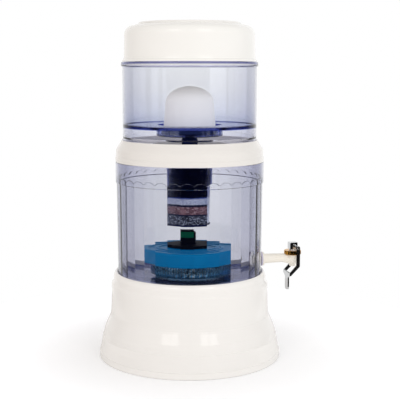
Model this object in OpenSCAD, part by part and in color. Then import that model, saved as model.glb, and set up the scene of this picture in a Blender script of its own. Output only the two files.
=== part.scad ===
// Gravity water filter with tap.
// Raw water is poured into the upper tank, seeps through a ceramic dome and a layered cartridge,
// and collects over a case of mineral stones in the lower tank, which a push-lever tap empties.
// Millimetres, +Z up. The origin is the centre of the base's foot, and the tap points along +X.

/* [Base] */
// Radius of the base at its foot
foot_r = 148.5; // [146:0.5:151]
// Height of the base
base_h = 140.5; // [138:0.5:142]
// Height of the shelf that the lower tank stands on
shelf_z = 128; // [126:0.5:129]
// Number of ribs under the shelf
rib_count = 12; // [6:1:24]

/* [Lower tank] */
// Outer radius of the lower tank at its foot
tank_foot_r = 116.8; // [116:0.1:117.2]
// Outer radius of the lower tank just under its ledge
tank_r = 118.2; // [117.8:0.1:118.4]
// Outer radius of the smooth band over the ledge
band_r = 119.7; // [119.4:0.1:119.9]
// Height of the ledge between the panelled wall and the smooth band
ledge_z = 286; // [280:1:290]
// Number of flat panels on the inside of the wall
panel_count = 36; // [24:2:48]
// Distance from the axis to a flat panel
panel_r = 115; // [114.6:0.1:115.2]

/* [Collar] */
// Height at which the collar sits on the lower tank
collar_z = 320; // [318:1:322]
// Height of the collar's upper edge
collar_top_z = 354.4; // [353:0.2:356]
// Radius of the opening that the cartridge hangs through
deck_hole_r = 62; // [50:1:80]

/* [Upper tank] */
// Outer radius of the upper tank
upper_r = 107.5; // [107.3:0.1:107.7]
// Wall of the upper tank
upper_wall = 2.6; // [2.4:0.1:3]
// Height of the upper tank's floor, on top
floor_z = 378.4; // [377:0.2:380]
// Height of the upper tank's rim
rim_z = 478.6; // [470:0.2:490]
// Outer radius of the well under the ceramic dome
well_r = 53.7; // [52:0.1:56]

/* [Lid] */
// Height of the lid over the upper tank's rim
lid_h = 64; // [60:0.5:70]

/* [Ceramic dome] */
// Radius of the dome at its foot
dome_r = 42.3; // [40:0.1:44]
// Height of the dome's crown
dome_top_z = 440; // [430:0.5:445]

/* [Cartridge] */
// Outer radius of the cartridge at its head
cart_r = 37.3; // [36:0.1:38]
// Height of the cartridge's underside
cart_z = 217.3; // [214:0.1:222]

/* [Mineral stone case] */
// Radius of the case's lid
case_lid_r = 72; // [70:0.5:74]
// Height of the top of the case's lid
case_lid_z = 180; // [176:0.5:182]
// Number of slots around the case
case_slots = 120; // [60:2:130]
// Angle that the handle faces
handle_angle = -108; // [-180:1:180]

/* [Tap] */
// Height of the tap's centre line
tap_z = 153; // [152:0.5:155]
// Distance from the object's axis to the tap's chamber
tap_x = 178; // [174:0.5:182]
// Radius of the tap's outlet
outlet_r = 3.6; // [3:0.1:4]

/* [Hidden] */
$fn = 144;
e = 0.01;

// Clearances: between parts that lift apart, and of the pin and stem that run in a bore
lift_gap = 0.4;
run_gap = 0.07;

// Lower tank
tank_floor = 4;
tank_floor_z = shelf_z + tank_floor;
band_inner_r = 116.6;
neck_r = 118.1;
neck_top_z = 330.5;
panel_pitch = 360 / panel_count;
panel_top_z = 292;
panel_arch_h = 4;
arch_drop = 1.2;
// Corner radius of a polygon whose flats lie at the given distance from the axis
function corner_r(flat_r) = flat_r / cos(panel_pitch / 2);

// Collar
collar_r = 119.9;
skirt_z = 347;
deck_t = 3;

// Upper tank
upper_in_r = upper_r - upper_wall;
floor_t = 3.5;
well_z = 360.5;
well_t = 3;
bead_r = 109.6;
stem_hole_r = 8;

// Lid
lid_r = 107.4;
lid_wall_r = 104.7;
lid_z = rim_z + lid_h;
lid_t = 2.4;

// Dome and the fittings of its stem
plate_z = 365;
plate_r = 45.5;
dome_z = plate_z + 4.5;
dome_shoulder_r = 38.8;
dome_shoulder_z = 413;
dome_wall = 7;
stem_r = 7.5;
stem_bore_r = 3.5;
stem_z = 343.5;
dome_nut_z = 351.5;

// Cartridge, with the heights of its layers from the bottom up
cart_foot_r = 36;
cart_top_z = 338;
cart_neck_r = 35.2;
head_z = 326;
head_r = 38.5;
cart_wall = 2;
bed_r = cart_foot_r - cart_wall - 0.2;
sand_z = cart_z + 2.3;
pad_1_z = 234.3;
mineral_z = 236.4;
pad_2_z = 249.2;
silica_z = 252.4;
pad_3_z = 263.7;
carbon_z = 265.6;
pad_4_z = 330;
pad_4_top_z = 332;

// Mineral stone case
case_r = 65;
case_foot_z = tank_floor_z;
case_floor_z = case_foot_z + 4;
stone_r = 6.2;
stone_h = 10.5;
stone_pitch = 14.2;
case_skirt_z = 156.8;
slot_w = 1.3;
slot_foot_z = case_foot_z + 6.5;
slot_top_z = case_skirt_z - 1.3;
case_rim_z = 174;
case_lid_in_r = 68.6;
lug_count = 3;
lug_angle = 20;
lug_z = 166;
lug_h = 2.5;
lug_gap = 0.3;
stop_angle = 4;
stop_z = 160;
disc_r = 33;
disc_h = 5;
handle_w = 28;
handle_t = 12;
handle_h = 22;
handle_corner_r = 5.5;
inlay_h = 9.4;
inlay_t = 1.2;
inlay_corner_r = 3.8;
frame_top = 2.6;
frame_side = 1.7;

// Tap
boss_r = 12.2;
boss_out_x = 120.5;
boss_in_x = 112.6;
shank_r = 7.6;
shank_x = 101.5;
shank_hole_r = 8;
washer_r = 12.2;
washer_t = 2.5;
inner_washer_t = 2;
nut_t = 6;
nut_corner_r = 12.7;
flange_t = 3;
chamber_r = 10.2;
chamber_bore_r = 7.6;
chamber_top_z = 161.5;
seat_z = 147;
outlet_z = 138.5;
passage_r = 4;
bonnet_r = 14.25;
bonnet_z = 158.5;
bonnet_top_z = 165.4;
yoke_w = 13;
yoke_z = 167.8;
yoke_top_z = 179;
yoke_bore_r = 2.6;
stem_head_r = 2;
notch_z = 168.8;
notch_h = 3.6;
nose_r = 1.2;
cam_w = 3.6;
pin_x = tap_x + 4.4;
pin_z = 171;
pin_r = 1.4;
valve_r = 1.6;
guide_foot_z = 160.4;
guide_top_z = 163.3;
spring_z = 152.6;
spring_turns = 4;
spring_r = 5;
spring_wire_r = 0.55;
arm_y = 14.6;
arm_t = 2;
arm_w = 6.4;
arm_knee_z = 140;
blade_x = 167.7;
blade_t = 2.4;
blade_top_z = 129;
blade_z = 98.5;
blade_w = 15;
blade_neck_z = 120;

// Points along an arc in the r-z plane, from angle a0 to a1
function arc(r0, z0, r, a0, a1, n = 6) =
    [for (i = [0:n]) let (a = a0 + (a1 - a0) * i / n) [r0 + r * cos(a), z0 + r * sin(a)]];
// Points along a quarter of an ellipse, from its side up to its crown on the axis
function crown(r, z, h, n = 12) = [for (i = [0:n]) [r * cos(90 * i / n), z + h * sin(90 * i / n)]];

// Solid of revolution from its half outline
module revolve(points) {
    rotate_extrude() polygon(points);
}

// Ring with a rectangular section
module ring(outer_r, inner_r, z0, z1) {
    translate([0, 0, z0]) difference() {
        cylinder(r = outer_r, h = z1 - z0);
        translate([0, 0, -1]) cylinder(r = inner_r, h = z1 - z0 + 2);
    }
}

// Piece of a ring with a rectangular section, from the +X axis through the given angle
module sector(inner_r, outer_r, z0, z1, angle) {
    rotate_extrude(angle = angle) translate([inner_r, z0]) square([outer_r - inner_r, z1 - z0]);
}

// Cylinder along X, between two distances from the object's axis
module along_x(r, x0, x1, z = tap_z) {
    translate([x0, 0, z]) rotate([0, 90, 0]) cylinder(r = r, h = x1 - x0);
}

// Hollow stand with a stepped outline, a pocket for the lower tank and ribs under its shelf
module base() {
    color("Linen") {
        revolve(concat(
            [[foot_r - 3.7, 0], [foot_r - 1.6, 0]],
            arc(foot_r - 1.6, 1.6, 1.6, -90, 0, 3),
            [[foot_r, 9.4]],
            arc(foot_r - 1.2, 9.6, 1.2, 0, 80, 3),
            [[144.9, 24], [143.5, 33], [143.2, 35.2], [142.3, 36.4], [140.4, 44.5], [138.2, 51]],
            [[135.9, 56], [131.3, 66.4], [130.1, 69.8], [129.4, 74], [128.9, 82]],
            [[128.3, 97], [128, 114]],
            arc(122.4, 119.4, 5.6, 0, 40, 6),
            [[125.2, 125.6], [124.7, 128], [124.6, 132.4], [124, 135.4], [122.8, 138]],
            arc(119.9, 138.7, 1.8, 60, 178, 5),
            [[118, shelf_z], [80, shelf_z], [80, shelf_z - 3]],
            [[122.2, shelf_z - 3], [124, 118], [126.2, 80], [127.6, 69], [132.8, 57], [139.2, 36]],
            [[144.8, 10]]
        ));
        for (i = [0:rib_count - 1])
            rotate((i + 0.5) * 360 / rib_count) rotate([90, 0, 0])
                translate([0, 0, -1.3]) linear_extrude(2.6)
                    polygon([[82, shelf_z - 2], [82, 117], [108, 104], [126.6, 92], [125.4, 116],
                             [123.6, shelf_z - 2]]);
    }
}

// Section of the lower tank's outside, up to its neck
function tank_outline() = concat(
    [[0, shelf_z], [tank_foot_r - 2.5, shelf_z]],
    arc(tank_foot_r - 2.5, shelf_z + 2.5, 2.5, -90, 0, 4),
    [[tank_r, ledge_z], [band_r, ledge_z + 1.2], [band_r, collar_z - 0.6], [band_r - 0.6, collar_z]],
    [[neck_r, collar_z], [neck_r, neck_top_z], [0, neck_top_z]]
);

// Solid ellipses that close the tops of the panels, one over each
module arches() {
    for (i = [0:panel_count - 1])
        rotate((i + 0.5) * panel_pitch) translate([panel_r - 5, 0, panel_top_z - arch_drop])
            rotate([90, 0, 90]) linear_extrude(8) scale([8.6, panel_arch_h + arch_drop]) circle(r = 1);
}

// Clear tub: smooth outside, flat panels inside that end in shallow arches, and a boss for the tap
module lower_tank() {
    color("Lavender", 0.5) difference() {
        union() {
            revolve(tank_outline());
            along_x(boss_r, boss_in_x, boss_out_x);
        }
        difference() {
            translate([0, 0, tank_floor_z]) linear_extrude(neck_top_z - tank_floor_z)
                polygon([for (i = [0:panel_count - 1])
                    corner_r(panel_r) * [cos(i * panel_pitch), sin(i * panel_pitch)]]);
            along_x(boss_r, boss_in_x, boss_out_x);
        }
        difference() {
            translate([0, 0, panel_top_z])
                cylinder(r = band_inner_r, h = neck_top_z - panel_top_z + 1);
            arches();
        }
        along_x(shank_hole_r, boss_in_x - 1, boss_out_x + 1);
    }
}

// Slotted cup that stands on the tank's floor, with bayonet lugs and stops for its lid
module stone_case() {
    color("MidnightBlue", 0.6) difference() {
        union() {
            revolve([
                [0, case_foot_z + 2], [50, case_foot_z + 2], [50, case_foot_z], [55, case_foot_z],
                [56, case_foot_z + 2], [case_r - 3, case_foot_z + 2], [case_r, case_foot_z + 5],
                [case_r, case_rim_z], [case_r - 2, case_rim_z], [case_r - 2, case_foot_z + 6],
                [case_r - 4.5, case_floor_z], [0, case_floor_z]
            ]);
            for (i = [0:lug_count - 1])
                rotate(i * 360 / lug_count) {
                    sector(case_r - 0.5, case_r + 2.6, lug_z, lug_z + lug_h, lug_angle);
                    rotate(-stop_angle - lug_gap)
                        sector(case_r - 0.5, case_r + 2.6, stop_z, lug_z + lug_h, stop_angle);
                }
        }
        for (i = [0:case_slots - 1])
            rotate((i + 0.5) * 360 / case_slots) translate([case_r - 4, -slot_w / 2, slot_foot_z])
                cube([6, slot_w, slot_top_z - slot_foot_z]);
    }
}

// Layers of rounded stones that fill the case, laid in rings
module stones() {
    color("Gainsboro")
        for (layer = [0:1], k = [0:3])
            let (
                ring_r = 12 + stone_pitch * k,
                count = floor(2 * PI * ring_r / stone_pitch),
                turn = 31 * layer + 17 * k,
                foot = case_floor_z + layer * (stone_h + 0.1)
            )
            for (i = [0:count - 1])
                rotate(turn + i * 360 / count) translate([ring_r, 0, foot + stone_h / 2]) stone();
}

// One pebble: a ball worn flat on top and underneath
module stone() {
    intersection() {
        sphere(r = stone_r, $fn = 24);
        translate([-stone_r, -stone_r, -stone_h / 2]) cube([2 * stone_r, 2 * stone_r, stone_h]);
    }
}

// Moulded tap: threaded shank, flange, tapering barrel, chamber and outlet
module tap_body() {
    flange_x = boss_out_x + washer_t;
    barrel_x = flange_x + flange_t;
    color("Ivory") difference() {
        union() {
            along_x(shank_r, shank_x, flange_x + 1);
            along_x(11.4, flange_x, barrel_x);
            translate([barrel_x - 1, 0, tap_z]) rotate([0, 90, 0])
                cylinder(r1 = 8.2, r2 = 6.9, h = tap_x - 8 - barrel_x);
            hull() {
                along_x(6.9, 158, 160);
                translate([tap_x, 0, 142.6]) cylinder(r1 = 6.2, r2 = 8.6, h = 7, $fn = 32);
            }
            translate([tap_x, 0, 0]) revolve([
                [0, outlet_z], [5, outlet_z], [5.4, outlet_z + 0.5], [5.5, 141], [6.6, 142.6],
                [8.8, 146], [9.9, 149.4], [chamber_r, 152], [chamber_r, chamber_top_z],
                [0, chamber_top_z]
            ]);
        }
        along_x(passage_r, shank_x - 1, tap_x);
        translate([tap_x, 0, outlet_z - 1]) cylinder(r = outlet_r, h = 20);
        translate([tap_x, 0, seat_z]) cylinder(r = chamber_bore_r, h = 20);
        translate([tap_x, 0, 0]) ring(bonnet_r + 0.3, chamber_r, bonnet_z - 0.1, chamber_top_z + 1);
    }
}

// Soft washer between the tank's boss and the tap's flange
module tap_outer_washer() {
    color("DarkGray") difference() {
        along_x(washer_r, boss_out_x, boss_out_x + washer_t);
        along_x(shank_r + 0.1, boss_out_x - 1, boss_out_x + washer_t + 1);
    }
}

// Soft washer under the lock nut, inside the tank
module tap_inner_washer() {
    color("DarkGray") difference() {
        along_x(washer_r - 0.4, boss_in_x - inner_washer_t, boss_in_x);
        along_x(shank_r + 0.1, boss_in_x - inner_washer_t - 1, boss_in_x + 1);
    }
}

// Hexagon nut that clamps the tap to the tank
module tap_lock_nut() {
    nut_x = boss_in_x - inner_washer_t - nut_t;
    color("WhiteSmoke") difference() {
        translate([nut_x, 0, tap_z]) rotate([0, 90, 0]) cylinder(r = nut_corner_r, h = nut_t, $fn = 6);
        along_x(shank_r + 0.1, nut_x - 1, nut_x + nut_t + 1);
    }
}

// Brass ring that closes the tap's chamber, with a knurled grip
module bonnet_nut() {
    color("Goldenrod") translate([tap_x, 0, 0]) difference() {
        revolve([
            [chamber_r + 0.1, bonnet_z], [bonnet_r - 0.8, bonnet_z], [bonnet_r, bonnet_z + 0.8],
            [bonnet_r, bonnet_top_z - 0.8], [bonnet_r - 0.8, bonnet_top_z], [6.1, bonnet_top_z],
            [6.1, guide_top_z], [chamber_r + 0.1, guide_top_z]
        ]);
        for (i = [0:23])
            rotate(i * 15) translate([bonnet_r + 0.35, 0, bonnet_z + 1.6])
                cylinder(r = 0.7, h = bonnet_top_z - bonnet_z - 3.2, $fn = 16);
    }
}

// White bush that guides the valve stem and carries the yoke
module stem_guide() {
    color("White") translate([tap_x, 0, 0]) revolve([
        [valve_r + run_gap, guide_foot_z], [chamber_bore_r - 0.1, guide_foot_z],
        [chamber_bore_r - 0.1, chamber_top_z], [chamber_r - 0.1, chamber_top_z],
        [chamber_r - 0.1, guide_top_z], [6, guide_top_z], [6, yoke_z], [valve_r + run_gap, yoke_z]
    ]);
}

// Chrome block that holds the lever's pin, slotted for the cam and bored for the stem's head
module yoke_block() {
    color("Silver") difference() {
        translate([tap_x, 0, yoke_z]) intersection() {
            translate([-yoke_w / 2, -yoke_w / 2, 0]) cube([yoke_w, yoke_w, yoke_top_z - yoke_z]);
            cylinder(r1 = 12, r2 = 8.6, h = yoke_top_z - yoke_z);
        }
        translate([tap_x, 0, yoke_z - 1]) cylinder(r = yoke_bore_r, h = 10.6);
        translate([tap_x, -cam_w / 2 - 0.4, yoke_z - 1]) cube([10, cam_w + 0.8, 8.6]);
        translate([pin_x, yoke_w, pin_z]) rotate([90, 0, 0]) cylinder(r = pin_r + run_gap, h = 2 * yoke_w);
    }
}

// Half a turn of the spring's wire, on the side of +Y
module half_turn(r) {
    rotate_extrude(angle = 180) translate([r, 0]) circle(r = spring_wire_r, $fn = 24);
}

// Compression spring round the valve stem: level half turns joined by half turns that climb
module valve_spring() {
    pitch = (guide_foot_z - spring_z - 2 * spring_wire_r) / spring_turns;
    climb = asin(pitch / 2 / spring_r);
    color("LightSteelBlue") translate([tap_x, 0, spring_z + spring_wire_r]) {
        for (i = [0:spring_turns]) translate([0, 0, i * pitch]) half_turn(spring_r);
        for (i = [0:spring_turns - 1])
            translate([0, 0, (i + 0.5) * pitch]) rotate([0, climb, 0])
                rotate(180) half_turn(spring_r / cos(climb));
        for (z = [0, spring_turns * pitch]) translate([0, 0, z]) rotate(180) half_turn(spring_r);
    }
}

// Lid of the stone case, with rings raised on its top and lugs that lock under the case's own
module stone_case_lid() {
    color("SteelBlue") {
        difference() {
            revolve(concat(
                [[0, case_skirt_z], [case_lid_r - 0.8, case_skirt_z], [case_lid_r, case_skirt_z + 0.8]],
                [[case_lid_r, case_skirt_z + 2.6], [case_lid_r - 0.5, case_skirt_z + 3.4]],
                [[case_lid_r - 0.5, case_lid_z - 4]],
                arc(case_lid_r - 3.5, case_lid_z - 4, 3, 0, 90, 4),
                [[case_lid_r - 6, case_lid_z - 1], [case_lid_r - 6, case_lid_z - 2]],
                [[disc_r + 0.3, case_lid_z - 2], [disc_r + 0.3, case_lid_z], [0, case_lid_z]]
            ));
            revolve([
                [0, case_skirt_z - 1], [case_lid_in_r, case_skirt_z - 1],
                [case_lid_in_r, case_rim_z - 1], [case_lid_in_r - 1, case_rim_z], [0, case_rim_z]
            ]);
        }
        for (i = [0:lug_count - 1])
            rotate(i * 360 / lug_count)
                sector(case_r + 0.6, case_lid_in_r + 0.5, lug_z - lug_gap - lug_h, lug_z - lug_gap,
                       lug_angle);
        for (r = [disc_r + 8, disc_r + 16, disc_r + 24])
            ring(r + 0.8, r - 0.8, case_lid_z - 2 - e, case_lid_z - 1);
    }
}

// Black disc at the middle of the case's lid
module handle_disc() {
    color("Black") revolve(concat(
        [[0, case_lid_z], [disc_r, case_lid_z]],
        arc(disc_r - 1.5, case_lid_z + disc_h - 1.5, 1.5, 0, 90, 3),
        [[0, case_lid_z + disc_h]]
    ));
}

// Frame for the handle's face: +Y runs through it and Z is up
module at_handle() {
    rotate(handle_angle + 90) children();
}

// Outline of a tab from the front, with its upper corner rounded on one side
module tab(left, right, bottom, top, r) {
    polygon(concat([[left, bottom], [right, bottom]], arc(right - r, top - r, r, 0, 90, 8), [[left, top]]));
}

// Outline of the plate in the handle's face
module inlay_outline() {
    top = handle_h - frame_top;
    tab(-handle_w / 2 + frame_side / 2, handle_w / 2 - frame_side, top - inlay_h, top, inlay_corner_r);
}

// Upright tab that the case is lifted by, with a recess for its plate and a scoop for the fingers
module handle() {
    foot_z = case_lid_z + disc_h;
    color("Black") at_handle() difference() {
        translate([0, handle_t / 2, foot_z]) rotate([90, 0, 0])
            linear_extrude(handle_t) tab(-handle_w / 2, handle_w / 2, 0, handle_h, handle_corner_r);
        translate([0, inlay_t - handle_t / 2, foot_z]) rotate([90, 0, 0])
            linear_extrude(inlay_t + 1) inlay_outline();
        translate([0, handle_t / 2 + 4, foot_z + 10]) rotate([0, 90, 0])
            cylinder(r = 6.5, h = handle_w - 6, center = true);
    }
}

// Plain green plate let into the handle's face
module handle_inlay() {
    color("DarkGreen") at_handle() translate([0, inlay_t - handle_t / 2, case_lid_z + disc_h])
        rotate([90, 0, 0]) linear_extrude(inlay_t) inlay_outline();
}

// White collar that closes the lower tank and carries the upper one
module collar() {
    color("White") difference() {
        revolve(concat(
            [[neck_r + lift_gap, collar_z], [collar_r - 0.4, collar_z], [collar_r, collar_z + 0.6]],
            [[collar_r + 0.2, 326.4], [collar_r - 0.5, 327.6], [118.9, 328.6], [118.9, 338.4]],
            [[118.2, 340], [115.6, 344.4], [112.4, 349], [110.4, 352]],
            arc(109.4, collar_top_z - 1, 1, 40, 150, 4),
            [[upper_r + lift_gap, collar_top_z - 1.4], [upper_r + lift_gap, skirt_z]],
            [[deck_hole_r, skirt_z], [deck_hole_r, skirt_z - 9], [deck_hole_r + 2.4, skirt_z - 9]],
            [[deck_hole_r + 2.4, skirt_z - deck_t], [111, skirt_z - deck_t], [115.4, 337]],
            [[115.4, neck_top_z + 0.5], [neck_r + lift_gap, neck_top_z + 0.5]]
        ));
        for (i = [0:5])
            rotate(30 + i * 60) translate([86, 0, skirt_z - deck_t - 1]) cylinder(r = 4, h = deck_t + 2);
    }
}

// Clear upper tank: rim, wall, floor with a well for the dome, and a skirt that stands in the collar
module upper_tank() {
    well_in_r = well_r - 2.6;
    color("Lavender", 0.5) revolve(concat(
        [[stem_hole_r, well_z], [well_r - 2, well_z]],
        arc(well_r - 2, well_z + 2, 2, -90, 0, 4),
        [[well_r, floor_z - floor_t], [upper_in_r, floor_z - floor_t], [upper_in_r, 360]],
        [[103.5, 357.5], [103.5, skirt_z], [upper_r, skirt_z], [upper_r, rim_z - 8.4]],
        [[bead_r - 0.5, rim_z - 7.2], [bead_r, rim_z - 6.4], [bead_r, rim_z - 2.6]],
        arc(bead_r - 1.6, rim_z - 2.2, 1.6, 15, 75, 3),
        [[107.8, rim_z], [upper_in_r + 0.8, rim_z], [upper_in_r, rim_z - 1]],
        [[upper_in_r, floor_z + 2]],
        arc(upper_in_r - 2, floor_z + 2, 2, 0, -90, 4),
        [[well_in_r, floor_z], [well_in_r, well_z + well_t], [stem_hole_r, well_z + well_t]]
    ));
}

// Hollow ceramic filter dome: a slightly tapering wall under a flattened crown
module dome() {
    crown_h = dome_top_z - dome_shoulder_z;
    color("WhiteSmoke") difference() {
        revolve(concat(
            [[0, dome_z], [dome_r, dome_z]],
            crown(dome_shoulder_r, dome_shoulder_z, crown_h)
        ));
        revolve(concat(
            [[0, dome_z - 1], [dome_r - dome_wall, dome_z - 1]],
            crown(dome_shoulder_r - dome_wall, dome_shoulder_z, crown_h - dome_wall)
        ));
    }
}

// Plastic foot plate of the dome, with the hollow stem that passes the tank's floor
module dome_plate() {
    color("DarkSlateGray") revolve([
        [stem_bore_r, stem_z], [stem_r, stem_z], [stem_r, plate_z], [plate_r, plate_z],
        [plate_r, dome_z + 2.6], [dome_r + 0.2, dome_z + 2.6], [dome_r + 0.2, dome_z],
        [dome_r - dome_wall - 0.3, dome_z], [dome_r - dome_wall - 0.3, dome_z + 3],
        [dome_r - dome_wall - 2.6, dome_z + 3], [dome_r - dome_wall - 2.6, plate_z + 2.4],
        [stem_bore_r, plate_z + 2.4]
    ]);
}

// Seal between the dome's plate and the well
module dome_gasket() {
    color("DimGray") ring(20, stem_hole_r, well_z + well_t, plate_z);
}

// Coned nut that clamps the dome from under the tank
module dome_nut() {
    color("MidnightBlue") revolve([
        [stem_r + 0.1, dome_nut_z], [13.6, dome_nut_z], [13.4, dome_nut_z + 2],
        [11.3, well_z - 1.4], [11.3, well_z], [stem_r + 0.1, well_z]
    ]);
}

// Screw-on head of the cartridge, with finger ribs and a socket for the dome's stem
module cartridge_head() {
    socket_top_z = dome_nut_z;
    color("MidnightBlue") {
        revolve(concat(
            [[stem_r + 0.1, cart_top_z], [cart_neck_r + 0.1, cart_top_z]],
            [[cart_neck_r + 0.1, head_z], [head_r, head_z], [head_r, cart_top_z]],
            arc(head_r - 4, cart_top_z, 4, 0, 80, 5),
            [[16, 344], [13, 346], [13, socket_top_z], [stem_r + 0.1, socket_top_z]]
        ));
        for (i = [0:23])
            rotate(i * 15) translate([head_r, 0, head_z + 1]) cylinder(r = 0.9, h = 10, $fn = 16);
    }
}

// Clear tube that holds the filter layers
module cartridge_case() {
    color("MidnightBlue", 0.6) difference() {
        union() {
            translate([0, 0, sand_z]) cylinder(r1 = cart_foot_r, r2 = cart_r, h = head_z - sand_z);
            translate([0, 0, sand_z]) cylinder(r = cart_neck_r, h = cart_top_z - sand_z);
        }
        translate([0, 0, sand_z - 1]) cylinder(r = cart_foot_r - cart_wall, h = cart_top_z);
        for (z = [pad_1_z, pad_2_z, pad_3_z])
            ring(cart_r + 1, cart_foot_r - 0.5, z + 0.5, z + 1.3);
    }
}

// Perforated foot of the cartridge
module cartridge_grille() {
    color("MidnightBlue") difference() {
        translate([0, 0, cart_z]) cylinder(r = cart_foot_r + 0.5, h = sand_z - cart_z);
        for (k = [1:4])
            for (i = [0:6 * k - 1])
                rotate(i * 60 / k) translate([6.4 * k, 0, cart_z - 1])
                    cylinder(r = 1.4, h = 10, $fn = 16);
    }
}

// Felt pads that part the layers
module filter_pads() {
    color("DarkSlateBlue")
        for (gap = [[pad_1_z, mineral_z], [pad_2_z, silica_z], [pad_3_z, carbon_z],
                    [pad_4_z, pad_4_top_z]])
            translate([0, 0, gap[0]]) cylinder(r = bed_r, h = gap[1] - gap[0]);
}

// One layer of filter media
module bed(z0, z1) {
    translate([0, 0, z0]) cylinder(r = bed_r, h = z1 - z0);
}

// Activated carbon
module carbon_bed() {
    color("Black") bed(carbon_z, pad_4_z);
}

// Grey silica grains
module silica_bed() {
    color("LightSlateGray") bed(silica_z, pad_3_z);
}

// Reddish mineral balls
module mineral_bed() {
    color("RosyBrown") bed(mineral_z, pad_2_z);
}

// Black and white mineral sand
module sand_bed() {
    color("DarkSlateGray") bed(sand_z, pad_1_z);
}

// White domed lid with a raised disc on top and a lip that locates it in the tank
module lid() {
    shoulder_z = lid_z - 22;
    shoulder_r = 15;
    color("White") difference() {
        revolve(concat(
            [[0, rim_z - 7], [upper_in_r - 0.6, rim_z - 7], [upper_in_r - 0.6, rim_z]],
            [[lid_r, rim_z], [lid_r, rim_z + 2.6], [lid_r - 0.6, rim_z + 3.4]],
            [[lid_wall_r + 0.8, rim_z + 4.4], [lid_wall_r, rim_z + 8]],
            arc(104.2 - shoulder_r, shoulder_z, shoulder_r, 0, 82, 8),
            [[84, lid_z - 5.6], [82.2, lid_z - 5], [81.4, lid_z - 3.4], [80, lid_z - 2.2]],
            [[60, lid_z - 1], [30, lid_z - 0.2], [0, lid_z]]
        ));
        revolve(concat(
            [[0, rim_z - 8], [upper_in_r - 3, rim_z - 8], [upper_in_r - 3, rim_z + 2]],
            [[lid_wall_r - lid_t, rim_z + 6]],
            arc(104.2 - shoulder_r, shoulder_z, shoulder_r - lid_t, 0, 82, 6),
            [[78, lid_z - 7.4], [76, lid_z - 5.2], [0, lid_z - lid_t]]
        ));
    }
}

// Side view of one arm of the lever: eye, straight shank and the slant back to the blade
module arm_outline() {
    half = arm_w / 2;
    translate([pin_x, pin_z]) circle(r = half);
    polygon([
        [pin_x - half, pin_z], [pin_x - half, arm_knee_z + 1.4], [blade_x, blade_top_z],
        [blade_x, blade_top_z - 5], [blade_x + blade_t, blade_top_z - 5],
        [pin_x + half - 0.8, arm_knee_z - 1.6], [pin_x + half, arm_knee_z], [pin_x + half, pin_z]
    ]);
}

// Front view of the blade that a cup pushes: as wide as the arms on top, then a narrow finger
module blade_outline() {
    tip_r = 5;
    half = blade_w / 2;
    reach = arm_y + arm_t;
    polygon(concat(
        [[-reach, blade_top_z], [-reach, blade_top_z - 3], [-half, blade_neck_z]],
        arc(tip_r - half, blade_z + tip_r, tip_r, 180, 270, 6),
        arc(half - tip_r, blade_z + tip_r, tip_r, 270, 360, 6),
        [[half, blade_neck_z], [reach, blade_top_z - 3], [reach, blade_top_z]]
    ));
}

// Chrome stirrup lever: two arms astride the chamber, joined by the blade
module lever() {
    color("Silver") difference() {
        union() {
            for (side = [0, 1])
                mirror([0, side, 0]) translate([0, arm_y + arm_t, 0]) rotate([90, 0, 0])
                    linear_extrude(arm_t) arm_outline();
            translate([blade_x, 0, 0]) rotate([90, 0, 90]) linear_extrude(blade_t) blade_outline();
        }
        translate([pin_x, 30, pin_z]) rotate([90, 0, 0]) cylinder(r = pin_r, h = 60);
    }
}

// Pin that the lever turns on, with a rivet head outside each arm
module lever_pin() {
    reach = arm_y + arm_t;
    color("Gray") translate([pin_x, 0, pin_z]) rotate([90, 0, 0]) {
        translate([0, 0, -reach]) cylinder(r = pin_r, h = 2 * reach);
        for (side = [0, 1])
            mirror([0, 0, side]) translate([0, 0, reach]) cylinder(r1 = 2.4, r2 = 1.8, h = 0.8);
    }
}

// Cam on the pin, whose nose lifts the valve stem
module lever_cam() {
    nose_x = tap_x + 0.2;
    web_h = 1.4;
    color("Gray") difference() {
        translate([0, cam_w / 2, 0]) rotate([90, 0, 0]) linear_extrude(cam_w) {
            translate([pin_x, pin_z]) circle(r = 2.4);
            translate([nose_x, pin_z]) circle(r = nose_r);
            translate([nose_x, pin_z - web_h / 2]) square([pin_x - nose_x, web_h]);
        }
        translate([pin_x, 5, pin_z]) rotate([90, 0, 0]) cylinder(r = pin_r, h = 10);
    }
}

// Valve stem: rubber-tipped foot, flange for the spring, shank and notched head
module valve_stem() {
    color("Silver") translate([tap_x, 0, 0]) difference() {
        revolve([
            [0, 149], [1.4, 149], [1.4, 151], [5.9, 151], [5.9, spring_z], [valve_r, spring_z],
            [valve_r, notch_z], [stem_head_r, notch_z], [stem_head_r, 174.6], [1.4, 175.3], [0, 175.3]
        ]);
        translate([-1.1, -4, notch_z]) cube([8, 8, notch_h]);
    }
}

// Rubber cup that closes the tap's seat
module seat_cup() {
    color("DimGray") translate([tap_x, 0, 0]) revolve([
        [0, seat_z], [5.4, seat_z], [6.2, seat_z + 0.8], [6.2, 151], [1.4, 151], [1.4, 149], [0, 149]
    ]);
}

base();
lower_tank();
stone_case();
stones();
tap_body();
tap_outer_washer();
tap_inner_washer();
tap_lock_nut();
bonnet_nut();
stem_guide();
yoke_block();
valve_spring();
stone_case_lid();
handle_disc();
handle();
handle_inlay();
collar();
upper_tank();
dome();
dome_plate();
dome_gasket();
dome_nut();
cartridge_head();
cartridge_case();
cartridge_grille();
filter_pads();
carbon_bed();
silica_bed();
mineral_bed();
sand_bed();
lid();
lever();
lever_pin();
lever_cam();
valve_stem();
seat_cup();
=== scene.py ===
"""Looks of a gravity water filter with tap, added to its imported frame."""
import math

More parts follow.
